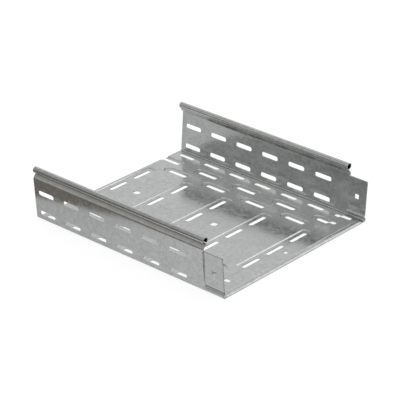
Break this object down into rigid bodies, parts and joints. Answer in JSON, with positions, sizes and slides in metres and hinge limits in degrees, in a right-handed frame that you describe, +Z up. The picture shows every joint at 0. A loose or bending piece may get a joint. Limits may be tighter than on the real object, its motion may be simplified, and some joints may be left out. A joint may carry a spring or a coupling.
{
  "type": "perforated cable tray",
  "caption": "Perforated steel cable tray length with rolled wall edges, pressed cross ribs, slotted floor and walls, and a stepped coupling end.",
  "frame": {"origin": "middle of the tray in plan, on the level that its pressed pockets rest on", "axes": "+X along the tray, from its plain end to its stepped coupling end; +Y across it; +Z up, out of its open top"},
  "size_m": [0.3524, 0.3112, 0.0816],
  "materials": {
    "galvanised_steel": "galvanised sheet steel, satin zinc with a faint spangle"
  },
  "bodies": {
    "root": {"cable_tray": "galvanised_steel"}
  },
  "joints": []
}
